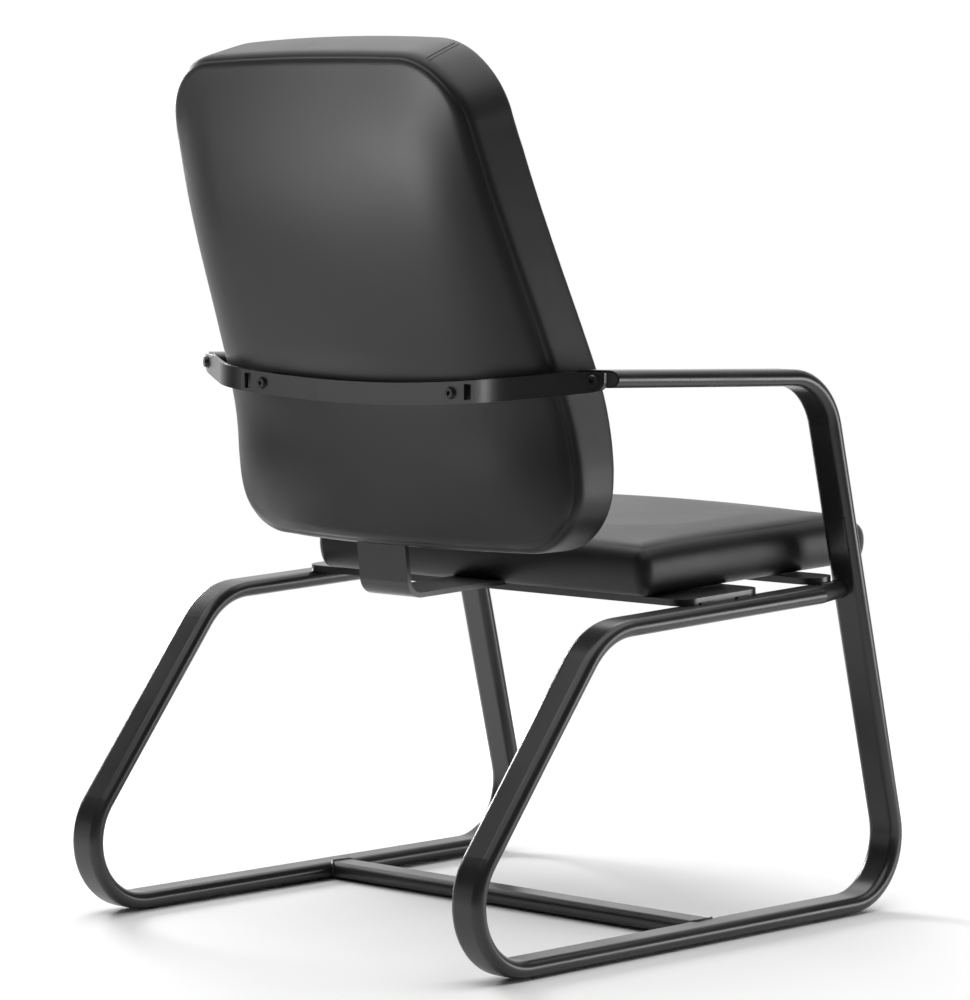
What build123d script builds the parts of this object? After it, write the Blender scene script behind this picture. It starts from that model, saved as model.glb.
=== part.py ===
from build123d import *
from math import atan2, ceil, cos, exp, pi, radians, sin, sqrt, tan
import os

os.makedirs("parts", exist_ok=True)

# A fixed visitor armchair on a sled base: two bent oval tubes carry a seat and a tall back.
# Millimetres. +Z is up, the sitter faces -Y, and X = 0 is the plane of symmetry.

# Flat-sided oval tube of the side frames and the floor crossbar
tube_width = 45
tube_depth = 20
tube_wall = 2
weld_gap = 0.1

# Corners of a side frame's centreline before bending
frame_spread = 640
arm_end_z = 663
arm_front_y = -210.5
arm_front_z = 650.5
runner_front_y = -367
runner_rear_y = 464
rail_rear_y = 176.5
rail_rear_z = 378
rail_slope = 2.06
bend_radius = 78
rail_bend_radius = 92
rail_neck = 70
rail_tip_width = 24
rail_tip_shift = 10

# Floor crossbar, and the glides that hold the runners off the floor
crossbar_y = -25.5
crossbar_trim = 12
glide_proud = 2
glide_length = 60
glide_width = 24
glide_corner = 6
glide_inset = 40
stud_d = 8
stud_length = 9

# Pressed cross plates on the rails, and the L-shaped bar that carries the back
plate_height = 8
plate_sheet = 3
plate_reach = 318
plate_corner = 22
rear_plate_back = 24
rear_plate_width = 140
front_plate_back = -208
front_plate_width = 46
bar_width = 80
bar_thick = 6
bar_bend = 16
bar_top_z = 600

# Backrest: its rear seam leans back above the loins, and a little less above the shoulder
back_bottom_z = 456
back_top_z = 1032
back_foot_y = 165.5
lumbar_z = 596
lumbar_lean = 23.5
shoulder_z = 852
shoulder_lean = 18
lean_blend = 60
band_depth_foot = 62
band_depth = 84
band_swell = 190
back_half_width = 284
back_taper_z = 557
back_taper = 5.4
back_foot_corner = 80
back_top_corner = 90
back_top_arch = 10
back_top_slope = 14.5
back_crown = 52
crown_reach = 560
crown_head = 220
crown_fall = 0.75
shoulder_share = 0.845
shoulder_reach = 0.6
edge_flat = 110
edge_fall = 0.5
front_crown = 8
cover_thick = 1.5
soft_gap = 0.2
rear_pad = 17
board_thick = 12
board_inset = 20

# Flat strap that joins the two arm ends behind the back and draws the rear panel in
strap_height = 26
strap_thick = 6
strap_y = 241
strap_z = 638
strap_rise = 23
strap_flat = 195
strap_bend = 100
strap_turn = 32
strap_tip = 12
strap_level = 32
strap_slot_x = 183
strap_slot_width = 11
strap_slot_height = 18
pinch_reach = 18

# Seat, measured along the rails and square to them, from the top of the rails
seat_half_width = 280
seat_rear = 48.5
seat_front = -393
seat_bottom = 8.6
seat_edge = 75
seat_crown = 7
seat_bulge = 7
seat_front_corner = 50
seat_rear_corner = 30
seat_roll = 18
seat_hem = 8
seat_pull_in = 3
waterfall = 110
waterfall_drop = 14
seat_nose = 10
seat_board_thick = 15
seat_board_inset = 20
base_cloth = 0.6
hem_width = 24

# Fasteners
bolt_d = 8
bolt_clear = 0.5
thread_gap = 0.05
head_d = 15
head_height = 4.5
hex_key = 5
hex_depth = 2.5
washer_d = 20
washer_thick = 1.6
tee_flange_d = 22
tee_flange = 1.5
tee_barrel_d = 10.5
tee_barrel = 9.5
spacer_d = 28
seat_bolt_x = 180
bar_bolt_x = 22
back_bolt_low_z = 512
back_bolt_high_z = 572
strap_screw_x = 157
plug_length = 30
end_screw_length = 22
strap_screw_length = 32

# Side frame geometry that follows from these sizes
frame_x = frame_spread / 2
runner_z = glide_proud + tube_depth / 2
tilt = radians(rail_slope)
post_lean = (arm_front_y - runner_front_y) / (arm_front_z - runner_z)
rail_at_zero = rail_rear_z + tan(tilt) * rail_rear_y
rail_front_y = runner_front_y + post_lean * (rail_at_zero - runner_z)
rail_front_y = rail_front_y / (1 + post_lean * tan(tilt))
rail_top_z = rail_at_zero + tube_depth / 2 / cos(tilt) + weld_gap

# The seat and its supports are drawn in the plane of the rail tops
seat_plan = Plane(origin=(0, 0, rail_top_z), x_dir=(1, 0, 0), z_dir=(0, sin(tilt), cos(tilt)))
seat_side = Plane(origin=(0, 0, rail_top_z), x_dir=(0, cos(tilt), -sin(tilt)), z_dir=(1, 0, 0))
seat_face = Plane(origin=(0, 0, rail_top_z), x_dir=(1, 0, 0), z_dir=(0, -cos(tilt), sin(tilt)))
bar_over = plate_height + bar_thick
board_under = bar_over + base_cloth
board_over = board_under + seat_board_thick
rear_plate_middle = rear_plate_back - rear_plate_width / 2
front_plate_middle = front_plate_back - front_plate_width / 2

# Strap geometry, seen from above: straight behind the back, then turned towards the arms
strap_corner_x = strap_flat + strap_bend * tan(radians(strap_turn) / 2)
strap_end_x = frame_x + strap_tip
strap_slope = tan(radians(strap_turn))


def save(piece, name):
    piece.part.label = name
    export_step(piece.part, f"parts/{name}.step")


def strap_lift(x):
    """Rise of the strap's middle line towards the arms."""
    return strap_rise * (x / frame_x) ** 2


def strap_front_y(x):
    """Front face of the strap's turned ends."""
    return strap_y - strap_slope * (x - strap_corner_x) - strap_thick / 2 / cos(radians(strap_turn))


def past_bend(distance):
    """Nothing before a bend, the whole distance past it, and smooth between."""
    return (distance + sqrt(distance**2 + lean_blend**2)) / 2


def rear_seam_y(z):
    low = tan(radians(lumbar_lean))
    high = tan(radians(shoulder_lean))
    return back_foot_y + low * past_bend(z - lumbar_z) - (low - high) * past_bend(z - shoulder_z)


def front_seam_y(z):
    share = min(max((z - back_bottom_z) / band_swell, 0), 1)
    return rear_seam_y(z) - band_depth_foot - (band_depth - band_depth_foot) * share


def crown(z):
    """How far the middle of the rear panel stands out, less and less above the loins and near the head."""
    head = min(max(1 - (back_top_z - z) / crown_head, 0), 1)
    return back_crown * (1 - ((z - strap_z) / crown_reach) ** 2) * (1 - crown_fall * head**2)


def half_width(z):
    return back_half_width - tan(radians(back_taper)) * max(z - back_taper_z, 0)


def pinch(z, x, share):
    """How far the strap's upper edge presses in the rear panel, at a share of its crown, at height z."""
    edge_z = strap_z + strap_lift(x) + strap_height / 2
    press = rear_seam_y(edge_z) + share * crown(edge_z) - (strap_y - strap_thick / 2 - soft_gap)
    return press * exp(-(((z - edge_z) / pinch_reach) ** 2))


def shoulder(z):
    """The crown's share at the shoulders, less towards the foot and the head, where the panel flattens."""
    foot = max(1 - (z - back_bottom_z) / edge_flat, 0)
    head = max(1 - (back_top_z - z) / edge_flat, 0)
    return shoulder_share * (1 - edge_fall * min(foot**2 + head**2, 1))


def rear_skin(depth):
    """A surface at a depth inside the rear panel, drawn in by the strap."""
    return lambda z: (
        rear_seam_y(z) - depth,
        shoulder(z) * crown(z) - pinch(z, shoulder_reach * half_width(strap_z), shoulder_share),
        crown(z) - pinch(z, 0, 1),
    )


def board_skin(depth):
    """A surface at a depth inside the rear panel, following the stiff board."""
    return lambda z: (rear_seam_y(z) - depth, shoulder(z) * crown(z), crown(z))


def front_skin(depth):
    """A surface at a depth inside the front panel."""
    return lambda z: (front_seam_y(z) + depth, -shoulder_share * front_crown, -front_crown)


def cross_line(half, edge_y, shoulder_rise, rise):
    """A line across the back: nearly flat in the middle, rounded off to the edges."""
    shoulder = shoulder_reach * half
    shoulder_y = edge_y + shoulder_rise
    middle = ThreePointArc((-shoulder, shoulder_y), (0, edge_y + rise), (shoulder, shoulder_y))
    TangentArc((shoulder, shoulder_y), (half, edge_y), tangent=middle % 1)
    TangentArc((-shoulder, shoulder_y), (-half, edge_y), tangent=-(middle % 0))


def back_layer(rear_face, front_face, step):
    """A layer of the back between two of its surfaces, wider than the outline that trims it.

    Its cross-sections are evenly spaced by about one step, which is small where the strap's crease shows.
    """
    low = back_bottom_z - 2 * pinch_reach
    high = back_top_z + 4 * pinch_reach
    count = ceil((high - low) / step)
    with BuildPart() as layer:
        for z in (low + (high - low) * index / count for index in range(count + 1)):
            half = half_width(z) + 1
            rear = rear_face(z)
            front = front_face(z)
            with BuildSketch(Plane.XY.offset(z)):
                with BuildLine():
                    cross_line(half, *rear)
                    cross_line(half, *front)
                    Line((half, rear[0]), (half, front[0]))
                    Line((-half, rear[0]), (-half, front[0]))
                make_face()
        loft()
    return layer.part


def back_outline(inset):
    """The back's outline seen from behind, as a long prism whose top rises towards the front."""
    seam_y = rear_seam_y(back_top_z)
    head = half_width(back_top_z)
    with BuildPart() as prism:
        for y in (seam_y + 100, back_foot_y - band_depth - 100):
            top_z = back_top_z + tan(radians(back_top_slope)) * (seam_y - y)
            with BuildSketch(Plane.XZ.offset(-y)) as outline:
                with BuildLine():
                    Polyline(
                        (-head, top_z - back_top_arch),
                        (-back_half_width, back_taper_z),
                        (-back_half_width, back_bottom_z),
                        (back_half_width, back_bottom_z),
                        (back_half_width, back_taper_z),
                        (head, top_z - back_top_arch),
                    )
                    ThreePointArc((-head, top_z - back_top_arch), (0, top_z), (head, top_z - back_top_arch))
                make_face()
                fillet(outline.vertices().group_by(Axis.Y)[0], back_foot_corner)
                fillet(outline.vertices().group_by(Axis.Y)[-1], back_top_corner)
                if inset:
                    offset(amount=-inset)
        loft()
    return prism.part


def seat_outline(inset, low, high):
    """The seat's outline from above, its sides drawn in a little, between two heights."""
    with BuildPart() as prism:
        with BuildSketch(seat_plan.offset(low)) as outline:
            with BuildLine():
                middle = (seat_front + seat_rear) / 2
                drawn = seat_half_width - seat_pull_in
                Line((-seat_half_width, seat_rear), (seat_half_width, seat_rear))
                ThreePointArc((seat_half_width, seat_rear), (drawn, middle), (seat_half_width, seat_front))
                Line((seat_half_width, seat_front), (-seat_half_width, seat_front))
                ThreePointArc((-seat_half_width, seat_front), (-drawn, middle), (-seat_half_width, seat_rear))
            make_face()
            fillet(outline.vertices().group_by(Axis.Y)[-1], seat_rear_corner)
            fillet(outline.vertices().group_by(Axis.Y)[0], seat_front_corner)
            if inset:
                offset(amount=-inset)
        extrude(amount=high - low)
    return prism.part


def seat_cushion(inset):
    """The seat's outer form, or a smaller one inside it: outline, side view and front view together."""
    half = seat_half_width - inset
    rear = seat_rear - inset
    front = seat_front + inset
    low = seat_bottom + inset
    edge = seat_edge - inset
    top = edge + seat_crown
    middle = (low + edge) / 2
    foot = half - seat_bulge
    tip = (front + seat_nose / 2, edge - waterfall_drop)
    with BuildPart() as cushion:
        add(seat_outline(inset, 0, top))
        with BuildSketch(seat_side) as side_view:
            with BuildLine():
                ThreePointArc((rear - seat_bulge, low), (rear, middle), (rear - seat_bulge, edge))
                Polyline((rear - seat_bulge, edge), (rear - waterfall, top), (front + waterfall, top))
                TangentArc((front + waterfall, top), tip, tangent=(-1, 0))
                ThreePointArc(tip, (front, middle), (front + seat_nose, low))
                Line((front + seat_nose, low), (rear - seat_bulge, low))
            make_face()
            upper = side_view.vertices().filter_by(lambda corner: corner.Y > middle)
            fillet(upper.filter_by(lambda corner: abs(corner.Y - top) > 1), seat_roll - inset)
            fillet(side_view.vertices().group_by(Axis.Y)[0], seat_hem - inset)
        extrude(amount=seat_half_width, both=True, mode=Mode.INTERSECT)
        with BuildSketch(seat_face) as front_view:
            with BuildLine():
                ThreePointArc((-foot, edge), (0, top), (foot, edge))
                ThreePointArc((foot, edge), (half, middle), (foot, low))
                Line((foot, low), (-foot, low))
                ThreePointArc((-foot, low), (-half, middle), (-foot, edge))
            make_face()
            fillet(front_view.vertices().group_by(Axis.Y)[-1], seat_roll - inset)
            fillet(front_view.vertices().group_by(Axis.Y)[0], seat_hem - inset)
        extrude(amount=seat_rear - seat_front, both=True, mode=Mode.INTERSECT)
    return cushion.part


def bolt(seat, length):
    """A button-head bolt. The seat plane lies under its head and faces away from its shank."""
    with BuildSketch(seat) as head:
        Circle(head_d / 2)
    extrude(head.sketch, amount=head_height, taper=20)
    with BuildSketch(seat) as shank:
        Circle(bolt_d / 2)
    extrude(shank.sketch, amount=-length)
    with BuildSketch(seat.offset(head_height)) as socket:
        RegularPolygon(hex_key / 2, 6, major_radius=False)
    extrude(socket.sketch, amount=-hex_depth, mode=Mode.SUBTRACT)


def tee_nut(seat):
    """A tee nut whose barrel starts at the seat plane, with its flange at the far end."""
    with BuildSketch(seat) as barrel:
        Circle(tee_barrel_d / 2)
    extrude(barrel.sketch, amount=-tee_barrel)
    with BuildSketch(seat.offset(-tee_barrel)) as flange:
        Circle(tee_flange_d / 2)
    extrude(flange.sketch, amount=-tee_flange)
    round_cut(seat, thread_d, tee_barrel + 2 * tee_flange)


def tee_nut_hole(seat, length):
    """The stepped hole for a tee nut, open past its flange."""
    round_cut(seat, tee_barrel_d + 2 * thread_gap, length)
    with BuildSketch(seat.offset(-tee_barrel)) as flange:
        Circle(tee_flange_d / 2 + bolt_clear)
    extrude(flange.sketch, amount=-length, mode=Mode.SUBTRACT)


def round_cut(seat, diameter, length):
    with BuildSketch(seat) as hole:
        Circle(diameter / 2)
    extrude(hole.sketch, amount=length, both=True, mode=Mode.SUBTRACT)


def on_seat(x, along, height, facing=1):
    """A plane at a point given along the rails, facing up from them or down."""
    place = seat_plan.from_local_coords((x, along, height))
    return Plane(origin=place, x_dir=(1, 0, 0), z_dir=seat_plan.z_dir * facing)


sides = {"left": 1, "right": -1}
clear_d = bolt_d + 2 * bolt_clear
thread_d = bolt_d + 2 * thread_gap

# Side frames: one oval tube each, bent from the arm down to the runner, back up and along under the
# seat, where its end is drawn in and welded to the inner half of the post.
arm_end_y = strap_front_y(frame_x)
arm_rise = (arm_end_z - arm_front_z) / (arm_end_y - arm_front_y)
arm_far_y = arm_end_y + tube_width
rail_neck_y = rail_front_y + rail_neck * cos(tilt)
frame_corners = [
    (arm_far_y, arm_end_z + arm_rise * tube_width),
    (arm_front_y, arm_front_z),
    (runner_front_y, runner_z),
    (runner_rear_y, runner_z),
    (rail_rear_y, rail_rear_z),
    (rail_neck_y, rail_at_zero - tan(tilt) * rail_neck_y),
]
frame_radii = [bend_radius, bend_radius, bend_radius, rail_bend_radius]
leg_angle = atan2(rail_rear_z - runner_z, runner_rear_y - rail_rear_y)
front_turn = bend_radius * tan(pi / 4 + atan2(post_lean, 1) / 2)
rear_turn = bend_radius * tan((pi - leg_angle) / 2)
glide_places = [runner_front_y + front_turn + glide_inset, runner_rear_y - rear_turn - glide_inset]
rail_front_z = rail_at_zero - tan(tilt) * rail_front_y


def tube_section(grow):
    """The tube's flat-sided oval, grown or shrunk all round, for the sketch at hand."""
    SlotOverall(tube_width + 2 * grow, tube_depth + 2 * grow)


def strap_end_space(side):
    """The space taken by the strap's turned end, behind the end of an arm."""
    near = frame_x - tube_width
    far = frame_x + tube_width
    with BuildPart() as space:
        with BuildSketch(Plane.XY.offset(arm_end_z - tube_width)):
            with BuildLine():
                Polyline(
                    (side * near, strap_front_y(near) - weld_gap),
                    (side * far, strap_front_y(far) - weld_gap),
                    (side * far, strap_y + tube_width),
                    (side * near, strap_y + tube_width),
                    close=True,
                )
            make_face()
        extrude(amount=2 * tube_width)
    return space.part


for name, side in sides.items():
    end_space = strap_end_space(side)
    with BuildLine(Plane.YZ.offset(side * frame_x)) as run:
        FilletPolyline(*frame_corners, radius=frame_radii)
    path = run.line
    start = Plane(origin=path @ 0, x_dir=(1, 0, 0), z_dir=path % 0)
    rail = Plane(origin=path @ 1, x_dir=(1, 0, 0), z_dir=path % 1)
    joint = (side * frame_x, rail_front_y, rail_front_z)
    post = Plane(origin=joint, x_dir=(1, 0, 0), z_dir=(0, post_lean, 1))
    with BuildPart() as rail_end:
        for wall, mode in ((0, Mode.ADD), (tube_wall, Mode.SUBTRACT)):
            with BuildSketch(rail):
                tube_section(-wall)
            with BuildSketch(rail.offset(rail_neck)):
                with Locations((-side * rail_tip_shift, 0)):
                    SlotOverall(rail_tip_width - 2 * wall, tube_depth - 2 * wall)
            loft(mode=mode)
        with BuildSketch(post):
            tube_section(weld_gap)
        extrude(amount=tube_width, both=True, mode=Mode.SUBTRACT)
    with BuildPart() as side_frame:
        with BuildSketch(start) as section:
            SlotOverall(tube_width, tube_depth)
            SlotOverall(tube_width - 2 * tube_wall, tube_depth - 2 * tube_wall, mode=Mode.SUBTRACT)
        sweep(sections=section.sketch, path=path)
        add(rail_end.part)
        add(end_space, mode=Mode.SUBTRACT)
        for y in glide_places:
            with BuildSketch(Plane.XY):
                with Locations((side * frame_x, y)):
                    Circle(stud_d / 2 + thread_gap)
            extrude(amount=runner_z, mode=Mode.SUBTRACT)
    save(side_frame, f"side_frame_{name}")

# Floor crossbar: the same oval tube lying flat between the runners, cut to fit against them.
with BuildPart() as floor_crossbar:
    with BuildSketch(Plane.YZ):
        with Locations((crossbar_y, runner_z)):
            SlotOverall(tube_width, tube_depth)
            SlotOverall(tube_width - 2 * tube_wall, tube_depth - 2 * tube_wall, mode=Mode.SUBTRACT)
    extrude(amount=frame_x - crossbar_trim, both=True)
    with BuildSketch(Plane.XZ.offset(-crossbar_y)):
        with Locations((frame_x, runner_z), (-frame_x, runner_z)):
            tube_section(weld_gap)
    extrude(amount=tube_width, both=True, mode=Mode.SUBTRACT)
save(floor_crossbar, "floor_crossbar")

# Runner glides: hard plastic pads under the runners, each with a stud in a hole of the tube.
with BuildPart() as runner_glides:
    for side in sides.values():
        for y in glide_places:
            with BuildSketch(Plane.XY):
                with Locations((side * frame_x, y)):
                    RectangleRounded(glide_width, glide_length, glide_corner)
            extrude(amount=runner_z - tube_depth / 4)
            with BuildSketch(Plane.XZ.offset(-y)):
                with Locations((side * frame_x, runner_z)):
                    tube_section(weld_gap)
            extrude(amount=glide_length, both=True, mode=Mode.SUBTRACT)
            with BuildSketch(Plane.XY.offset(glide_proud / 2)):
                with Locations((side * frame_x, y)):
                    Circle(stud_d / 2)
            extrude(amount=stud_length)
save(runner_glides, "runner_glides")

# Cross plates: shallow pressed trays, open below, whose rims are welded to the tops of the rails.
plates = {
    "rear_cross_plate": (rear_plate_middle, rear_plate_width),
    "front_cross_plate": (front_plate_middle, front_plate_width),
}
for name, (along, width) in plates.items():
    with BuildPart() as cross_plate:
        with BuildSketch(seat_plan):
            with Locations((0, along)):
                RectangleRounded(2 * plate_reach, width, plate_corner)
        extrude(amount=plate_height)
        with BuildSketch(seat_plan):
            with Locations((0, along)):
                RectangleRounded(
                    2 * (plate_reach - plate_sheet), width - 2 * plate_sheet, plate_corner - plate_sheet
                )
        extrude(amount=plate_height - plate_sheet, mode=Mode.SUBTRACT)
        with BuildSketch(seat_plan):
            with Locations(*[(x, along) for x in (-seat_bolt_x, -bar_bolt_x, bar_bolt_x, seat_bolt_x)]):
                Circle(clear_d / 2)
        extrude(amount=plate_height, mode=Mode.SUBTRACT)
    save(cross_plate, name)

# Back bar: a flat bar along the middle of both plates, bent up behind the seat to carry the back.
low_y = rear_seam_y(back_bolt_low_z) + crown(back_bolt_low_z) - rear_pad
high_y = rear_seam_y(back_bolt_high_z) + crown(back_bolt_high_z) - rear_pad
bar_lean = atan2(high_y - low_y, back_bolt_high_z - back_bolt_low_z)
bar_up = Vector(0, sin(bar_lean), cos(bar_lean))
bar_out = Vector(0, cos(bar_lean), -sin(bar_lean))
bar_face = Vector(0, low_y, back_bolt_low_z)
bar_top = bar_face + bar_out * (bar_thick / 2) + bar_up * ((bar_top_z - back_bolt_low_z) / cos(bar_lean))
leg_front = front_plate_back - front_plate_width
leg_start = seat_plan.from_local_coords((0, leg_front, plate_height + bar_thick / 2))
leg_on = seat_plan.y_dir
climb = bar_top - leg_start
leg_length = (climb.Y * bar_up.Z - climb.Z * bar_up.Y) / (leg_on.Y * bar_up.Z - leg_on.Z * bar_up.Y)
bar_corner = leg_start + leg_on * leg_length
bar_bolts_at = [
    (x, along) for along in (rear_plate_middle, front_plate_middle) for x in (bar_bolt_x, -bar_bolt_x)
]


def on_bar(x, z, depth=0):
    """A plane on the bar's front face, facing back, at a depth in front of it."""
    place = bar_face + bar_up * ((z - back_bolt_low_z) / cos(bar_lean)) - bar_out * depth
    return Plane(origin=(x, place.Y, place.Z), x_dir=(1, 0, 0), z_dir=bar_out)


back_bolts_at = [(x, z) for z in (back_bolt_low_z, back_bolt_high_z) for x in (bar_bolt_x, -bar_bolt_x)]


def bar_solid(extra):
    """The bar without its holes, or a slightly larger one to cut room for it."""
    with BuildLine() as run:
        FilletPolyline(leg_start, bar_corner, bar_top + bar_up * extra, radius=bar_bend + bar_thick / 2)
    path = run.line
    with BuildPart() as bar:
        with BuildSketch(Plane(origin=path @ 0, x_dir=(1, 0, 0), z_dir=path % 0)) as section:
            Rectangle(bar_width + 2 * extra, bar_thick + 2 * extra)
        sweep(sections=section.sketch, path=path)
    return bar.part


with BuildPart() as back_bar:
    add(bar_solid(0))
    for x, along in bar_bolts_at:
        round_cut(on_seat(x, along, plate_height), thread_d, 2 * bar_thick)
    for x, z in back_bolts_at:
        round_cut(on_bar(x, z), clear_d, 2 * bar_thick)
save(back_bar, "back_bar")
bar_room = bar_solid(2 * soft_gap)

# Arm strap: a flat steel strap curved up to the arms, turned forward at both ends against the tubes.


def strap_end_plane(side):
    """A plane on the rear face of the strap's turned end, at the middle of the arm's tube."""
    turn = radians(strap_turn)
    rear_y = strap_front_y(frame_x) + strap_thick / cos(turn)
    return Plane(
        origin=(side * frame_x, rear_y, strap_z + strap_lift(frame_x)),
        x_dir=(0, 0, 1),
        z_dir=(side * sin(turn), cos(turn), 0),
    )


def strap_screw_plane(side):
    """A plane on the rear face of the strap, where a screw holds it to the back."""
    x = side * strap_screw_x
    middle = (x, strap_y + strap_thick / 2, strap_z + strap_lift(x))
    return Plane(origin=middle, x_dir=(1, 0, 0), z_dir=(0, 1, 0))


with BuildPart() as arm_strap:
    with BuildSketch(Plane.XY.offset(strap_z - strap_height)):
        with BuildLine() as run:
            strap_end_y = strap_y - strap_slope * (strap_end_x - strap_corner_x)
            FilletPolyline(
                (-strap_end_x, strap_end_y),
                (-strap_corner_x, strap_y),
                (strap_corner_x, strap_y),
                (strap_end_x, strap_end_y),
                radius=strap_bend,
            )
        trace(line_width=strap_thick)
    extrude(amount=3 * strap_height)
    with BuildSketch(Plane.XZ.offset(-strap_y)) as from_behind:
        with BuildLine():
            reach = strap_end_x
            low_end = strap_z - strap_height / 2 + strap_lift(reach)
            high_end = strap_z + strap_height / 2 + strap_lift(reach)
            ThreePointArc((-reach, low_end), (0, strap_z - strap_height / 2), (reach, low_end))
            Line((reach, low_end), (reach, high_end))
            ThreePointArc((reach, high_end), (0, strap_z + strap_height / 2), (-reach, high_end))
            Line((-reach, high_end), (-reach, low_end))
        make_face()
        with Locations((0, strap_z + strap_level - strap_height)):
            Rectangle(2 * reach, 2 * strap_height, mode=Mode.INTERSECT)
        ends = from_behind.vertices().filter_by(lambda corner: abs(abs(corner.X) - reach) < 1)
        fillet(ends.filter_by(lambda corner: corner.Y < strap_z + strap_rise), strap_height / 2)
        with Locations((strap_slot_x, strap_lift(strap_slot_x)), (-strap_slot_x, strap_lift(strap_slot_x))):
            with Locations((0, strap_z)):
                Rectangle(strap_slot_width, strap_slot_height, mode=Mode.SUBTRACT)
    extrude(amount=strap_y, both=True, mode=Mode.INTERSECT)
    for side in sides.values():
        round_cut(strap_end_plane(side), clear_d, 3 * strap_thick)
        round_cut(strap_screw_plane(side), clear_d, 3 * strap_thick)
save(arm_strap, "arm_strap")

# Arm end plugs: oval inserts in the tube mouths, tapped for the screws of the strap.
with BuildPart() as arm_end_plugs:
    for side in sides.values():
        end_space = strap_end_space(side)
        mouth = Plane(
            origin=(side * frame_x, arm_end_y - plug_length, arm_end_z - arm_rise * plug_length),
            x_dir=(1, 0, 0),
            z_dir=(0, 1, arm_rise),
        )
        with BuildSketch(mouth) as section:
            tube_section(-tube_wall - soft_gap)
        extrude(section.sketch, amount=plug_length + tube_width / 2)
        add(end_space, mode=Mode.SUBTRACT)
        round_cut(strap_end_plane(side), thread_d, end_screw_length + bolt_clear)
save(arm_end_plugs, "arm_end_plugs")

# Strap screws: one into each arm, and two through the rear panel into the board of the back.
with BuildPart() as strap_end_screws:
    for side in sides.values():
        bolt(strap_end_plane(side), end_screw_length)
save(strap_end_screws, "strap_end_screws")

with BuildPart() as strap_back_screws:
    for side in sides.values():
        bolt(strap_screw_plane(side), strap_screw_length)
save(strap_back_screws, "strap_back_screws")

# Back: a stiff board between two pads of foam, in a cover of a rear panel, an edge band and a front panel.
inner = cover_thick + soft_gap
fine_step = pinch_reach / 2
wide_step = 1.5 * pinch_reach
cover_outline = back_outline(0)
foam_outline = back_outline(inner)

with BuildPart() as back_cover_rear:
    add(back_layer(rear_skin(0), rear_skin(cover_thick), fine_step))
    add(cover_outline, mode=Mode.INTERSECT)
    for side in sides.values():
        round_cut(strap_screw_plane(side), thread_d, strap_screw_length)
save(back_cover_rear, "back_cover_rear")

with BuildPart() as back_cover_front:
    add(back_layer(front_skin(cover_thick), front_skin(0), wide_step))
    add(cover_outline, mode=Mode.INTERSECT)
save(back_cover_front, "back_cover_front")

with BuildPart() as back_cover_band:
    add(back_layer(rear_skin(inner), front_skin(inner), fine_step))
    add(cover_outline, mode=Mode.INTERSECT)
    add(back_outline(cover_thick), mode=Mode.SUBTRACT)
    add(bar_room, mode=Mode.SUBTRACT)
save(back_cover_band, "back_cover_band")

with BuildPart() as back_foam_rear:
    add(back_layer(rear_skin(inner), board_skin(rear_pad), fine_step))
    add(foam_outline, mode=Mode.INTERSECT)
    with BuildSketch(on_bar(0, back_bottom_z - rear_pad, -bar_thick - soft_gap)):
        pocket_height = (bar_top_z + rear_pad - back_bottom_z) / cos(bar_lean) + soft_gap
        Rectangle(bar_width + 2 * soft_gap, pocket_height, align=(Align.CENTER, Align.MAX))
    extrude(amount=-bar_thick - 2 * rear_pad, mode=Mode.SUBTRACT)
    for x, z in back_bolts_at:
        round_cut(on_bar(x, z, -bar_thick), head_d + 2 * bolt_clear, head_height + bolt_clear)
    for side in sides.values():
        round_cut(strap_screw_plane(side), thread_d, strap_screw_length)
save(back_foam_rear, "back_foam_rear")

with BuildPart() as back_board:
    add(back_layer(board_skin(rear_pad + soft_gap), board_skin(rear_pad + soft_gap + board_thick), wide_step))
    add(back_outline(board_inset), mode=Mode.INTERSECT)
    add(bar_room, mode=Mode.SUBTRACT)
    for x, z in back_bolts_at:
        tee_nut_hole(on_bar(x, z, soft_gap), 2 * board_thick)
    for side in sides.values():
        round_cut(strap_screw_plane(side), thread_d, 2 * strap_screw_length)
save(back_board, "back_board")

with BuildPart() as board_room:
    add(back_layer(board_skin(0), board_skin(rear_pad + 2 * soft_gap + board_thick), wide_step))
    add(back_outline(board_inset - soft_gap), mode=Mode.INTERSECT)

with BuildPart() as back_foam_front:
    add(back_layer(board_skin(rear_pad + soft_gap), front_skin(inner), wide_step))
    add(foam_outline, mode=Mode.INTERSECT)
    add(board_room.part, mode=Mode.SUBTRACT)
    add(bar_room, mode=Mode.SUBTRACT)
save(back_foam_front, "back_foam_front")

with BuildPart() as back_bolts:
    for x, z in back_bolts_at:
        bolt(on_bar(x, z, -bar_thick), bar_thick + soft_gap + tee_barrel)
save(back_bolts, "back_bolts")

with BuildPart() as back_tee_nuts:
    for x, z in back_bolts_at:
        tee_nut(on_bar(x, z, soft_gap))
save(back_tee_nuts, "back_tee_nuts")

# Seat: foam over a plywood board, in one stretched cover whose hem hangs below a cloth underside.
seat_bolts_at = [
    (x, along) for along in (rear_plate_middle, front_plate_middle) for x in (seat_bolt_x, -seat_bolt_x)
]
under_web = plate_height - plate_sheet
under_washer = under_web - washer_thick
barrel_start = board_over - tee_flange - tee_barrel
underside = seat_outline(hem_width, 0, board_under)
with BuildPart() as bar_notch:
    with BuildSketch(seat_plan):
        with Locations((0, seat_rear)):
            Rectangle(bar_width + 2 * soft_gap, 3 * hem_width)
    extrude(amount=board_under)

with BuildPart() as seat_board:
    add(seat_outline(seat_board_inset, board_under, board_over))
    for x, along in seat_bolts_at:
        tee_nut_hole(on_seat(x, along, barrel_start, facing=-1), seat_board_thick)
save(seat_board, "seat_board")

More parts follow.
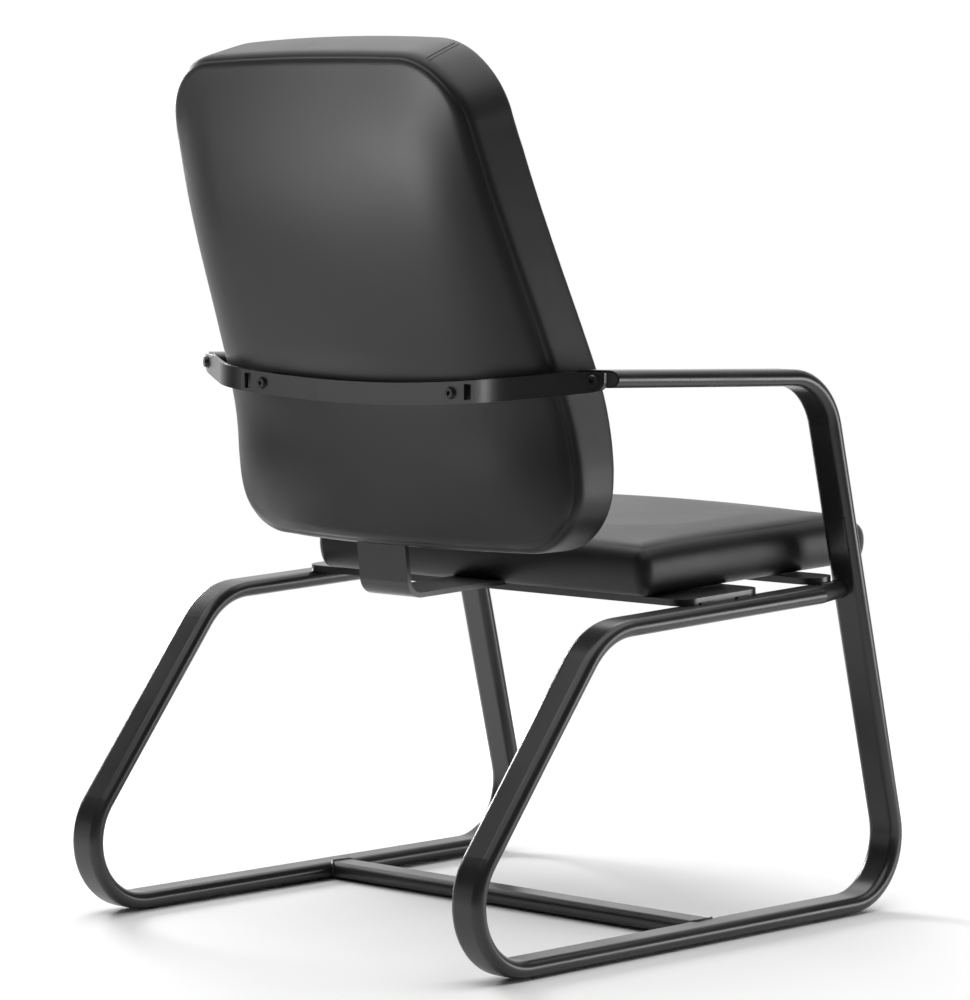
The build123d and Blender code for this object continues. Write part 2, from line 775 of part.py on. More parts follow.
with BuildPart() as seat_foam:
    add(seat_cushion(inner))
    add(underside, mode=Mode.SUBTRACT)
    board_space = seat_outline(seat_board_inset - soft_gap, board_under - soft_gap, board_over + soft_gap)
    add(board_space, mode=Mode.SUBTRACT)
    add(bar_notch.part, mode=Mode.SUBTRACT)
save(seat_foam, "seat_foam")

with BuildPart() as seat_cover:
    add(seat_cushion(0))
    add(seat_cushion(cover_thick), mode=Mode.SUBTRACT)
    add(underside, mode=Mode.SUBTRACT)
    add(bar_notch.part, mode=Mode.SUBTRACT)
save(seat_cover, "seat_cover")

with BuildPart() as seat_base_cloth:
    add(seat_outline(hem_width + soft_gap, bar_over, board_under))
    for x, along in seat_bolts_at:
        round_cut(on_seat(x, along, bar_over), clear_d, bar_thick)
save(seat_base_cloth, "seat_base_cloth")

# Seat fixings: spacers level the seat with the bar, and bolts come up through the plates from below.
with BuildPart() as seat_spacers:
    with BuildSketch(seat_plan.offset(plate_height)):
        with Locations(*seat_bolts_at):
            Circle(spacer_d / 2)
            Circle(clear_d / 2, mode=Mode.SUBTRACT)
    extrude(amount=bar_thick)
save(seat_spacers, "seat_spacers")

with BuildPart() as plate_washers:
    with BuildSketch(seat_plan.offset(under_washer)):
        with Locations(*seat_bolts_at, *bar_bolts_at):
            Circle(washer_d / 2)
            Circle(clear_d / 2, mode=Mode.SUBTRACT)
    extrude(amount=washer_thick)
save(plate_washers, "plate_washers")

with BuildPart() as seat_bolts:
    for x, along in seat_bolts_at:
        bolt(on_seat(x, along, under_washer, facing=-1), board_over - tee_flange - under_washer)
save(seat_bolts, "seat_bolts")

with BuildPart() as bar_bolts:
    for x, along in bar_bolts_at:
        bolt(on_seat(x, along, under_washer, facing=-1), bar_over - soft_gap - under_washer)
save(bar_bolts, "bar_bolts")

with BuildPart() as seat_tee_nuts:
    for x, along in seat_bolts_at:
        tee_nut(on_seat(x, along, barrel_start, facing=-1))
save(seat_tee_nuts, "seat_tee_nuts")
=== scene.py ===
from math import cos, exp, pi, radians, sin, sqrt, tan

import bmesh
import bpy
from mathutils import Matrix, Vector
from mathutils.bvhtree import BVHTree
from mathutils.kdtree import KDTree


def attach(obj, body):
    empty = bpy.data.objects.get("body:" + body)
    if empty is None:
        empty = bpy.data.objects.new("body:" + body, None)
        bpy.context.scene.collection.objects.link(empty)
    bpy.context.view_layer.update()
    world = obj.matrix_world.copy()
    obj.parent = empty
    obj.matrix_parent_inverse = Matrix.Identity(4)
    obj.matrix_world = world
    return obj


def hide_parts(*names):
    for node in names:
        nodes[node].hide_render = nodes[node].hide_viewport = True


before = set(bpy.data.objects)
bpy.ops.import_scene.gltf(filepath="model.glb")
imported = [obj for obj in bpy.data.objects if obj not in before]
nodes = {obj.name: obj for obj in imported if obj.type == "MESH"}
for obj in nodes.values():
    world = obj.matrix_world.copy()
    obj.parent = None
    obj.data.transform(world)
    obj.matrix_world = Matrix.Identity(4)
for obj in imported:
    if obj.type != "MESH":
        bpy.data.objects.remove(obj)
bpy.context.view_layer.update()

# Steel frame: the two bent oval tubes, the floor crossbar, the cross plates, the back bar and the strap.
# Mild steel, welded and powder coated satin black. The coat has a fine orange peel and some duller patches.


def surface_break():
    """Fine grain and broad patches, for finishes that are never quite even."""
    group = bpy.data.node_groups.new("surface_break", "ShaderNodeTree")
    for name in ("Grain Scale", "Patch Scale"):
        group.interface.new_socket(name, in_out="INPUT", socket_type="NodeSocketFloat")
    for name in ("Grain", "Patch"):
        group.interface.new_socket(name, in_out="OUTPUT", socket_type="NodeSocketFloat")
    entry = group.nodes.new("NodeGroupInput")
    leave = group.nodes.new("NodeGroupOutput")
    place = group.nodes.new("ShaderNodeTexCoord")
    for name, detail in (("Grain", 3), ("Patch", 4)):
        noise = group.nodes.new("ShaderNodeTexNoise")
        noise.inputs["Detail"].default_value = detail
        group.links.new(place.outputs["Object"], noise.inputs["Vector"])
        group.links.new(entry.outputs[f"{name} Scale"], noise.inputs["Scale"])
        group.links.new(noise.outputs["Fac"], leave.inputs[name])
    return group


def finish(name, base, roughness, spread, grain, patch, depth, metallic=0.0):
    """A finish of one colour whose roughness drifts in patches and whose surface has a fine grain."""
    material = bpy.data.materials.new(name)
    material.use_nodes = True
    tree = material.node_tree
    shader = tree.nodes["Principled BSDF"]
    shader.inputs["Metallic"].default_value = metallic
    surface = tree.nodes.new("ShaderNodeGroup")
    surface.node_tree = uneven
    surface.inputs["Grain Scale"].default_value = grain
    surface.inputs["Patch Scale"].default_value = patch
    rough = tree.nodes.new("ShaderNodeMapRange")
    rough.inputs["From Min"].default_value = 0.3
    rough.inputs["From Max"].default_value = 0.7
    rough.inputs["To Min"].default_value = roughness - spread
    rough.inputs["To Max"].default_value = roughness + spread
    tone = tree.nodes.new("ShaderNodeMix")
    tone.data_type = "RGBA"
    tone.inputs["A"].default_value = (*[0.8 * channel for channel in base], 1)
    tone.inputs["B"].default_value = (*[1.2 * channel for channel in base], 1)
    bump = tree.nodes.new("ShaderNodeBump")
    bump.inputs["Strength"].default_value = 0.5
    bump.inputs["Distance"].default_value = depth
    tree.links.new(surface.outputs["Patch"], rough.inputs["Value"])
    tree.links.new(surface.outputs["Patch"], tone.inputs["Factor"])
    tree.links.new(surface.outputs["Grain"], bump.inputs["Height"])
    tree.links.new(rough.outputs["Result"], shader.inputs["Roughness"])
    tree.links.new(tone.outputs["Result"], shader.inputs["Base Color"])
    tree.links.new(bump.outputs["Normal"], shader.inputs["Normal"])
    return material


def dress(material, *names):
    """Give CAD nodes their finish."""
    for name in names:
        mesh = nodes[name].data
        mesh.materials.clear()
        mesh.materials.append(material)


uneven = surface_break()
satin_black = finish("satin_black_powder_coat", (0.018, 0.018, 0.0185), 0.31, 0.05, 420, 9, 0.00006)
satin_black.node_tree.nodes["Principled BSDF"].inputs["Coat Weight"].default_value = 0.15
satin_black.node_tree.nodes["Principled BSDF"].inputs["Coat Roughness"].default_value = 0.2
dress(
    satin_black,
    "side_frame_left",
    "side_frame_right",
    "floor_crossbar",
    "rear_cross_plate",
    "front_cross_plate",
    "back_bar",
    "arm_strap",
)

# Weld beads: rippled fillets of weld metal under the coat, where the drawn-in rails meet the posts, where
# the crossbar meets the runners and where the ends of the plates sit on the rails.
frame_x = 0.32
tube_round = 0.01
tube_flat = 0.0125
rail_tip_flat = 0.002
rail_tip_shift = 0.01
runner_z = 0.012
crossbar_y = -0.0255
rail_slope = radians(2.06)
rail_top_z = 0.39446
post_lean = (0.367 - 0.2105) / (0.6505 - runner_z)
rail_start_z = 0.38435
post_y = (-0.367 + post_lean * (rail_start_z - runner_z)) / (1 + post_lean * tan(rail_slope))
post_z = rail_start_z - tan(rail_slope) * post_y
plate_end = 0.318
plate_stitches = (-0.078, -0.014, -0.231)
rail_bead = 0.0019
rail_bead_gap = 0.0008
crossbar_bead = 0.0017
plate_bead = 0.0016
bead_gap = 0.0006
ripple = 0.14
ripple_pitch = 0.0016


def bead(points, radius, closed):
    """A tube of weld metal through these points, thick and thin by turns, as a mesh."""
    curve = bpy.data.curves.new("bead", "CURVE")
    curve.dimensions = "3D"
    curve.bevel_depth = radius
    curve.bevel_resolution = 2
    spline = curve.splines.new("POLY")
    spline.points.add(len(points) - 1)
    for index, point in enumerate(points):
        spline.points[index].co = (*point, 1)
        spline.points[index].radius = 1 + ripple * (-1) ** index
    spline.use_cyclic_u = closed
    curve.use_fill_caps = not closed
    holder = bpy.data.objects.new("bead", curve)
    mesh = bpy.data.meshes.new_from_object(holder)
    bpy.data.objects.remove(holder)
    bpy.data.curves.remove(curve)
    return mesh


def oval(flat, turn):
    """A point of a flat-sided oval, across and up."""
    return (flat if cos(turn) > 0 else -flat) + tube_round * cos(turn), tube_round * sin(turn)


def piece_from(name, form):
    """A smooth shaded piece made of a bmesh, which is used up."""
    mesh = bpy.data.meshes.new(name)
    form.to_mesh(mesh)
    form.free()
    mesh.shade_smooth()
    piece = bpy.data.objects.new(name, mesh)
    bpy.context.scene.collection.objects.link(piece)
    return piece


beads = bmesh.new()
steps = 72
turns = [2 * pi * step / steps for step in range(steps)]
along_rail = Vector((0, cos(rail_slope), -sin(rail_slope)))
off_rail = Vector((0, sin(rail_slope), cos(rail_slope)))
for side in (-1, 1):
    joint = Vector((side * frame_x, post_y, post_z))
    ring = []
    for turn in turns:
        across, up = oval(rail_tip_flat, turn)
        across -= side * rail_tip_shift
        past = max(abs(across) - tube_flat, 0)
        behind = sqrt(max(tube_round**2 - past**2, 0))
        ring.append(joint + Vector((across, 0, 0)) + off_rail * up + along_rail * (behind + rail_bead_gap))
    beads.from_mesh(bead(ring, rail_bead, True))
    ring = []
    for turn in turns:
        across, up = oval(tube_flat, turn)
        reach = frame_x - tube_flat - sqrt(max(tube_round**2 - up**2, 0))
        ring.append((side * (reach - bead_gap), crossbar_y + across, runner_z + up))
    beads.from_mesh(bead(ring, crossbar_bead, True))
    for middle in plate_stitches:
        foot = Vector((side * (plate_end + bead_gap), 0, rail_top_z)) + off_rail * bead_gap
        stitch = [foot + along_rail * (middle + ripple_pitch * step) for step in range(-7, 8)]
        beads.from_mesh(bead(stitch, plate_bead, False))
weld_beads = piece_from("weld_beads", beads)
weld_beads.data.materials.append(satin_black)
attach(weld_beads, "root")

# Fasteners: black oxide screws hold the strap, and zinc plated bolts, washers and tee nuts the seat and
# the bar. Bought steel parts, lightly brushed by handling.
black_oxide = finish("black_oxide", (0.03, 0.03, 0.032), 0.38, 0.06, 700, 40, 0.00003, metallic=0.6)
zinc = finish("zinc_plate", (0.55, 0.55, 0.52), 0.34, 0.08, 900, 60, 0.00002, metallic=1.0)
dress(black_oxide, "strap_end_screws", "strap_back_screws")
dress(zinc, "back_bolts", "back_tee_nuts", "seat_bolts", "bar_bolts", "plate_washers", "seat_tee_nuts")

# Glides, arm end plugs and spacers: injection moulded black plastic with a fine spark-eroded texture. The
# glides clip under the runners, the plugs sit in the arms' mouths and the spacers lie under the seat board.
moulded = finish("moulded_black_plastic", (0.022, 0.022, 0.022), 0.55, 0.07, 1500, 25, 0.00008)
dress(moulded, "runner_glides", "arm_end_plugs", "seat_spacers")

# Boards: the seat's flat board and the back's moulded one, of plywood that is raw on its faces.
# The long grain lies along X, with thin darker growth lines. Cover and foam hide both.
plywood = finish("raw_plywood", (0.48, 0.33, 0.19), 0.62, 0.06, 300, 12, 0.00008)
tree = plywood.node_tree
rings = tree.nodes.new("ShaderNodeTexWave")
rings.inputs["Scale"].default_value = 26
rings.inputs["Distortion"].default_value = 5
rings.inputs["Detail"].default_value = 3
turn = tree.nodes.new("ShaderNodeMapping")
turn.inputs["Scale"].default_value = (0.06, 1, 1)
turn.inputs["Rotation"].default_value = (0, 0, pi / 2)
place = tree.nodes.new("ShaderNodeTexCoord")
lines = tree.nodes.new("ShaderNodeMix")
lines.data_type = "RGBA"
lines.inputs["A"].default_value = (0.5, 0.35, 0.2, 1)
lines.inputs["B"].default_value = (0.36, 0.23, 0.12, 1)
tree.links.new(place.outputs["Object"], turn.inputs["Vector"])
tree.links.new(turn.outputs["Vector"], rings.inputs["Vector"])
tree.links.new(rings.outputs["Fac"], lines.inputs["Factor"])
tree.links.new(lines.outputs["Result"], tree.nodes["Principled BSDF"].inputs["Base Color"])
dress(plywood, "seat_board", "back_board")

# Seat: thick foam in one stretched cover of smooth black synthetic leather, its hem pulled under the rim.
# The sides bulge, the top edge is rolled, the nose falls away and the underside is open to the cloth.
seat_half = 0.277
seat_rear = 0.0465
seat_front = -0.389
seat_low = 0.0092
seat_edge = 0.0725
seat_crown = 0.0045
seat_bulge = 0.007
seat_drawn_in = 0.003
seat_rear_corner = 0.018
seat_front_corner = 0.052
seat_fall = 0.11
seat_fall_drop = 0.014
seat_rolls = (0.018, 0.009)
hem_width = 0.024
hem_edge = 0.004
cloth_height = 0.0148


def padded_box(cuts):
    """A box from -1 to 1, cut into rows that crowd towards its edges."""
    form = bmesh.new()
    bmesh.ops.create_cube(form, size=2)
    for axis in range(3):
        along = [e for e in form.edges if abs(e.verts[0].co[axis] - e.verts[1].co[axis]) > 1]
        bmesh.ops.subdivide_edges(form, edges=along, cuts=cuts[axis], use_grid_fill=True)
    for vert in form.verts:
        vert.co = [sin(pi / 2 * share) for share in vert.co]
    return form


def plan_edge(half_at, low, high):
    """The outline seen square to the pad: its points, inward directions and a tree to find them by."""
    count = 400
    end_count = 160
    levels = [low + (high - low) * (1 - cos(pi * step / count)) / 2 for step in range(count + 1)]
    base = half_at(low)
    head = half_at(high)
    right = [(half_at(level), level) for level in levels]
    top = [(head * (1 - 2 * step / end_count), high) for step in range(1, end_count)]
    left = [(-half_at(level), level) for level in reversed(levels)]
    bottom = [(-base * (1 - 2 * step / end_count), low) for step in range(1, end_count)]
    loop = right + top + left + bottom
    tree = KDTree(len(loop))
    inward = []
    for index, (x, level) in enumerate(loop):
        tree.insert((x, level, 0), index)
        before = loop[index - 2]
        after = loop[(index + 2) % len(loop)]
        inward.append(Vector((before[1] - after[1], after[0] - before[0], 0)).normalized())
    tree.balance()
    return loop, inward, tree


def padded_form(cuts, half_at, low, high, upper, lower, rolls, side_in, groove, place, rounds):
    """A pad with an outline, an upper and a lower face, rolled edges and shaped sides.

    Returns its bmesh and, for each vertex, how far it lies from the nearest edge roll.
    """
    inset_fade = 0.04
    seam_width = 0.0018
    loop, inward, tree = plan_edge(half_at, low, high)
    form = padded_box(cuts)
    apart = []
    for vert in form.verts:
        across, along, depth = vert.co
        level = low + (high - low) * (along + 1) / 2
        x = across * half_at(level)
        _, index, gap = tree.find((x, level, 0))
        edge = Vector((*loop[index], 0))
        inner = inward[index]
        high_face = upper(x, level)
        low_face = lower(x, level, gap)
        face = 1 if depth > 0 else -1
        roll = rolls[0] if face > 0 else rolls[1]
        height = high_face if face > 0 else low_face
        on_face = abs(depth) > 0.99999
        away = gap if on_face else (high_face - low_face) * (1 - abs(depth)) / 2
        if away < roll:
            turn = pi / 4 * (1 - away / roll)
            lean = turn if on_face else pi / 2 - turn
            sunk = 0.7 * groove(face) * exp(-((roll * (pi / 4 - turn) / seam_width) ** 2))
            flat = edge + inner * (side_in(depth) + roll * (1 - sin(lean)) + sunk)
            height -= face * (roll * (1 - cos(lean)) + sunk)
        elif on_face:
            flat = Vector((x, level, 0)) + inner * side_in(face) * exp(-(gap - roll) / inset_fade)
        else:
            flat = edge + inner * side_in(depth)
            height -= face * away
        apart.append(away)
        vert.co = place(flat.x, flat.y, height)
    for _ in range(rounds):
        bmesh.ops.smooth_vert(
            form, verts=form.verts, factor=0.5, use_axis_x=True, use_axis_y=True, use_axis_z=True
        )
    bmesh.ops.recalc_face_normals(form, faces=form.faces)
    return form, apart


def swell(piece, held, pressure, cap):
    """Blow the pad up a little as cloth, with its held points fixed, and keep the evened-out result."""
    last_frame = 20
    evening_rounds = 16
    scene = bpy.context.scene
    before = [vert.co.copy() for vert in piece.data.vertices]
    group = piece.vertex_groups.new(name="held")
    for index, weight in enumerate(held):
        if weight > 0.001:
            group.add([index], weight, "REPLACE")
    cloth = piece.modifiers.new("Cloth", "CLOTH")
    cloth.settings.quality = 6
    cloth.settings.mass = 0.4
    cloth.settings.tension_stiffness = 25
    cloth.settings.compression_stiffness = 25
    cloth.settings.shear_stiffness = 15
    cloth.settings.bending_stiffness = 6
    cloth.settings.vertex_group_mass = "held"
    cloth.settings.use_pressure = True
    cloth.settings.uniform_pressure_force = pressure
    cloth.settings.effector_weights.gravity = 0
    cloth.point_cache.frame_start = 1
    cloth.point_cache.frame_end = last_frame
    for step in range(1, last_frame + 1):
        scene.frame_set(step)
    blown = piece.evaluated_get(bpy.context.evaluated_depsgraph_get())
    after = [vert.co.copy() for vert in blown.data.vertices]
    piece.modifiers.remove(cloth)
    piece.vertex_groups.remove(group)
    scene.frame_set(1)
    moves = [end - start for start, end in zip(before, after)]
    for _ in range(evening_rounds):
        around = [move.copy() for move in moves]
        count = [1] * len(moves)
        for edge in piece.data.edges:
            first, second = edge.vertices
            around[first] += moves[second]
            around[second] += moves[first]
            count[first] += 1
            count[second] += 1
        moves = [total / number for total, number in zip(around, count)]
    for vert, start, move in zip(piece.data.vertices, before, moves):
        if move.length > cap:
            move = move * (cap / move.length)
        vert.co = start + move


def seat_half_at(level):
    """Half the seat's width: the sides are drawn in a little and the corners rounded."""
    middle = (seat_rear + seat_front) / 2
    half = seat_half - seat_drawn_in * (1 - ((level - middle) / (seat_rear - middle)) ** 2)
    if level > seat_rear - seat_rear_corner:
        past = level - (seat_rear - seat_rear_corner)
        half += sqrt(max(seat_rear_corner**2 - past**2, 0)) - seat_rear_corner
    if level < seat_front + seat_front_corner:
        past = seat_front + seat_front_corner - level
        half += sqrt(max(seat_front_corner**2 - past**2, 0)) - seat_front_corner
    return half


def seat_top(x, level):
    """The crowned top, which falls away at the nose and a little at the rear."""
    height = seat_edge + seat_crown * (1 - (x / seat_half) ** 2)
    past = max(seat_front + seat_fall - level, 0) / seat_fall
    behind = max(level - (seat_rear - seat_fall), 0) / seat_fall
    return height - seat_fall_drop * past**2 - 0.5 * seat_crown * behind**2


def seat_underside(x, level, gap):
    """The hem, with a step up to the cloth inside it."""
    share = min(max((gap - hem_width + hem_edge) / hem_edge, 0), 1)
    return seat_low + (cloth_height - seat_low) * share * share * (3 - 2 * share)


def on_seat(x, level, height):
    """From the plane of the rail tops to the chair."""
    return Vector((x, 0, rail_top_z)) + along_rail * level + off_rail * height


def leather_grain():
    """Pebbled grain of a coated cloth: raised cells with fine creases between, and broad stretch marks."""
    group = bpy.data.node_groups.new("leather_grain", "ShaderNodeTree")
    group.interface.new_socket("Cell Scale", in_out="INPUT", socket_type="NodeSocketFloat")
    for name in ("Height", "Wear", "Stretch"):
        group.interface.new_socket(name, in_out="OUTPUT", socket_type="NodeSocketFloat")
    entry = group.nodes.new("NodeGroupInput")
    leave = group.nodes.new("NodeGroupOutput")
    place = group.nodes.new("ShaderNodeTexCoord")
    warp = group.nodes.new("ShaderNodeTexNoise")
    warp.inputs["Scale"].default_value = 140
    mixed = group.nodes.new("ShaderNodeMix")
    mixed.data_type = "VECTOR"
    mixed.inputs["Factor"].default_value = 0.004
    cells = group.nodes.new("ShaderNodeTexVoronoi")
    cells.feature = "DISTANCE_TO_EDGE"
    crease = group.nodes.new("ShaderNodeMapRange")
    crease.inputs["From Max"].default_value = 0.22
    fine = group.nodes.new("ShaderNodeTexNoise")
    fine.inputs["Scale"].default_value = 1900
    both = group.nodes.new("ShaderNodeMath")
    both.operation = "MULTIPLY_ADD"
    both.inputs[1].default_value = 0.35
    patch = group.nodes.new("ShaderNodeTexNoise")
    patch.inputs["Scale"].default_value = 5
    patch.inputs["Detail"].default_value = 4
    drift = group.nodes.new("ShaderNodeTexNoise")
    drift.inputs["Scale"].default_value = 14
    drift.inputs["Detail"].default_value = 2
    for noise in (warp, fine, patch, drift):
        group.links.new(place.outputs["Object"], noise.inputs["Vector"])
    group.links.new(place.outputs["Object"], mixed.inputs[4])
    group.links.new(warp.outputs["Color"], mixed.inputs[5])
    group.links.new(mixed.outputs[1], cells.inputs["Vector"])
    group.links.new(entry.outputs["Cell Scale"], cells.inputs["Scale"])
    group.links.new(cells.outputs["Distance"], crease.inputs["Value"])
    group.links.new(fine.outputs["Fac"], both.inputs[0])
    group.links.new(crease.outputs["Result"], both.inputs[2])
    group.links.new(both.outputs["Value"], leave.inputs["Height"])
    group.links.new(patch.outputs["Fac"], leave.inputs["Wear"])
    group.links.new(drift.outputs["Fac"], leave.inputs["Stretch"])
    return group


def leather(name, base, roughness):
    """Coated cloth with a pebbled grain, duller where it is worn."""
    material = bpy.data.materials.new(name)
    material.use_nodes = True
    tree = material.node_tree
    shader = tree.nodes["Principled BSDF"]
    shader.inputs["Specular IOR Level"].default_value = 0.38
    grain = tree.nodes.new("ShaderNodeGroup")
    grain.node_tree = pebble
    grain.inputs["Cell Scale"].default_value = 620
    rough = tree.nodes.new("ShaderNodeMapRange")
    rough.inputs["From Min"].default_value = 0.3
    rough.inputs["From Max"].default_value = 0.7
    rough.inputs["To Min"].default_value = roughness - 0.04
    rough.inputs["To Max"].default_value = roughness + 0.05
    tone = tree.nodes.new("ShaderNodeMix")
    tone.data_type = "RGBA"
    tone.inputs["A"].default_value = (*[0.85 * channel for channel in base], 1)
    tone.inputs["B"].default_value = (*[1.15 * channel for channel in base], 1)
    bump = tree.nodes.new("ShaderNodeBump")
    bump.inputs["Strength"].default_value = 0.35
    bump.inputs["Distance"].default_value = 0.00012
    swell_bump = tree.nodes.new("ShaderNodeBump")
    swell_bump.inputs["Strength"].default_value = 0.25
    swell_bump.inputs["Distance"].default_value = 0.0012
    tree.links.new(grain.outputs["Wear"], rough.inputs["Value"])
    tree.links.new(grain.outputs["Wear"], tone.inputs["Factor"])
    tree.links.new(grain.outputs["Height"], bump.inputs["Height"])
    tree.links.new(grain.outputs["Stretch"], swell_bump.inputs["Height"])
    tree.links.new(swell_bump.outputs["Normal"], bump.inputs["Normal"])
    tree.links.new(rough.outputs["Result"], shader.inputs["Roughness"])
    tree.links.new(tone.outputs["Result"], shader.inputs["Base Color"])
    tree.links.new(bump.outputs["Normal"], shader.inputs["Normal"])
    return material


pebble = leather_grain()
black_leather = leather("black_synthetic_leather", (0.013, 0.013, 0.0135), 0.4)


def side_of_seat(depth):
    """The sides bulge at mid height."""
    return seat_bulge * depth**2


def no_seam(face):
    """The seat's cover is one piece."""
    return 0.0


form, _ = padded_form(
    (84, 70, 15),
    seat_half_at,
    seat_front,
    seat_rear,
    seat_top,
    seat_underside,
    seat_rolls,
    side_of_seat,
    no_seam,
    on_seat,
    6,
)
hold_reach = 0.06
side_fade = 0.014
corner_fade = 0.03
held = []
for vert in form.verts:
    height = (vert.co - Vector((0, 0, rail_top_z))).dot(off_rail)
    level = (vert.co - Vector((0, 0, rail_top_z))).dot(along_rail)
    from_corner = max(seat_half - abs(vert.co.x), min(seat_rear - level, level - seat_front))
    side_hold = min(max((hold_reach - height) / side_fade, 0), 1)
    corner_hold = min(max((hold_reach - from_corner) / corner_fade, 0), 1)
    held.append(max(side_hold, corner_hold))
seat = piece_from("seat_upholstery", form)
swell(seat, held, pressure=4, cap=0.005)
seat.data.materials.append(black_leather)
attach(seat, "root")
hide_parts("seat_cover", "seat_foam")

# Seat underside: a black non-woven cloth stretched inside the hem and held by staples. It covers the board
# from below and sags a little between its edges.
cloth_size = (0.51, 0.393)
cloth_middle = (seat_front + seat_rear) / 2 - 0.001
cloth_edge_height = 0.0144
cloth_sag = 0.0012
hem_gap = 0.0005
cloth_form = bmesh.new()
bmesh.ops.create_grid(cloth_form, x_segments=60, y_segments=46, size=1)
for vert in cloth_form.verts:
    across, along = vert.co.x, vert.co.y
    level = cloth_middle + along * cloth_size[1] / 2
    sag = cloth_sag * (1 - across**4) * (1 - along**4) * (0.7 + 0.3 * sin(9 * across + 5 * along))
    limit = min(cloth_size[0] / 2, seat_half_at(level) - hem_width - hem_gap)
    vert.co = on_seat(across * limit, level, cloth_edge_height - sag)
bmesh.ops.recalc_face_normals(cloth_form, faces=cloth_form.faces)
underside = piece_from("seat_underside_cloth", cloth_form)
thick = underside.modifiers.new("Thickness", "SOLIDIFY")
thick.thickness = 0.0006
thick.offset = 0
base_cloth = finish("non_woven_base_cloth", (0.014, 0.014, 0.014), 0.9, 0.04, 2600, 60, 0.0002)
underside.data.materials.append(base_cloth)
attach(underside, "root")
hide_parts("seat_base_cloth")

# Staples: zinc plated wire staples, shot through the edge of the underside cloth into the board, one every
# few centimetres.
staple_inset = 0.006
staple_half = 0.005
staple_height = 0.0132
staple_radius = 0.0004
staple_wire = ((-1, 0.0008), (-0.8, 0), (0.8, 0), (1, 0.0008))
side_reach = cloth_size[0] / 2 - 2 * staple_inset
end_reach = cloth_size[1] / 2 - staple_inset
spots = []
for end in (-1, 1):
    spots += [(0.045 * step, end * end_reach, Vector((1, 0, 0))) for step in range(-5, 6)]
    spots += [(end * side_reach, 0.05 * step, along_rail) for step in range(-3, 4)]
staples = bmesh.new()
for across, along, lie in spots:
    crown = on_seat(across, cloth_middle + along, staple_height)
    wire = [crown + lie * staple_half * share + off_rail * rise for share, rise in staple_wire]
    staples.from_mesh(bead(wire, staple_radius, False))
wire_staples = piece_from("cloth_staples", staples)
wire_staples.data.materials.append(zinc)
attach(wire_staples, "root")

# Back: a curved board between foam pads in a sewn cover of rear panel, edge band and front panel.
# The panels are rolled over at the seams, and the strap's upper edge draws the rear panel in.
back_low = 0.456
back_high = 1.032
back_half = 0.284
back_taper_z = 0.557
back_taper = tan(radians(5.4))
back_foot_corner = 0.08
back_top_corner = 0.09
back_arch = 0.01
back_top_slope = tan(radians(14.5))
back_rise_z = 0.93
back_arch_half = 0.24
back_seam_y = 0.3356
back_centre_z = 0.74
back_rolls = (0.014, 0.008)
panel_gap = 0.0015
strap_gap = 0.0004
strap_reach = 0.05


def skin_of(piece):
    """A search tree over a piece's faces."""
    mesh = piece.data
    return BVHTree.FromPolygons([v.co for v in mesh.vertices], [p.vertices[:] for p in mesh.polygons])


rear_solid = skin_of(nodes["back_cover_rear"])
front_solid = skin_of(nodes["back_cover_front"])
strap_solid = skin_of(nodes["arm_strap"])


def back_half_at(level):
    """Half the back's width: it tapers upwards and its corners are rounded."""
    half = back_half - back_taper * max(level - back_taper_z, 0)
    if level < back_low + back_foot_corner:
        past = back_low + back_foot_corner - level
        half += sqrt(max(back_foot_corner**2 - past**2, 0)) - back_foot_corner
    if level > back_high - back_top_corner:
        past = level - (back_high - back_top_corner)
        half = back_half - back_taper * (back_high - back_top_corner - back_taper_z)
        half += sqrt(max(back_top_corner**2 - past**2, 0)) - back_top_corner
    return half


def on_back(x, level, y):
    """From the outline at the rear seam to the chair: the top arches and rises towards the front."""
    share = min(max((level - back_taper_z) / (back_rise_z - back_taper_z), 0), 1)
    z = level + back_top_slope * (back_seam_y - y) * share
    z -= back_arch * (x / back_arch_half) ** 2 * share**4
    return Vector((x, y, z))


def face_y(solid, start_y, x, level):
    """Where the CAD panel lies at this place of the outline, found a little inside its edge."""
    for inside in (0.997, 0.99, 0.98, 0.96, 0.93):
        start = on_back(x * inside, back_centre_z + (level - back_centre_z) * inside, start_y)
        end = on_back(x * inside, back_centre_z + (level - back_centre_z) * inside, -start_y)
        hit = solid.ray_cast(start, (end - start).normalized())[0]
        if hit is not None:
            return hit.y


def rear_face(x, level):
    """Just inside the rear panel."""
    return face_y(rear_solid, 1, x, level) - panel_gap


def front_face(x, level, gap):
    """Just inside the front panel."""
    return face_y(front_solid, -1, x, level) + panel_gap


def side_of_back(depth):
    """The band lies a little behind the rolled panel edges and swells between them."""
    return 0.0012 + 0.0012 * depth**4


def back_seam(face):
    """How deep both seams of the band are drawn in."""
    return 0.0011


def strap_face(spot):
    """The strap's front face straight behind a point, or None beside the strap."""
    return strap_solid.ray_cast(Vector((spot.x, -1, spot.z)), Vector((0, 1, 0)))[0]


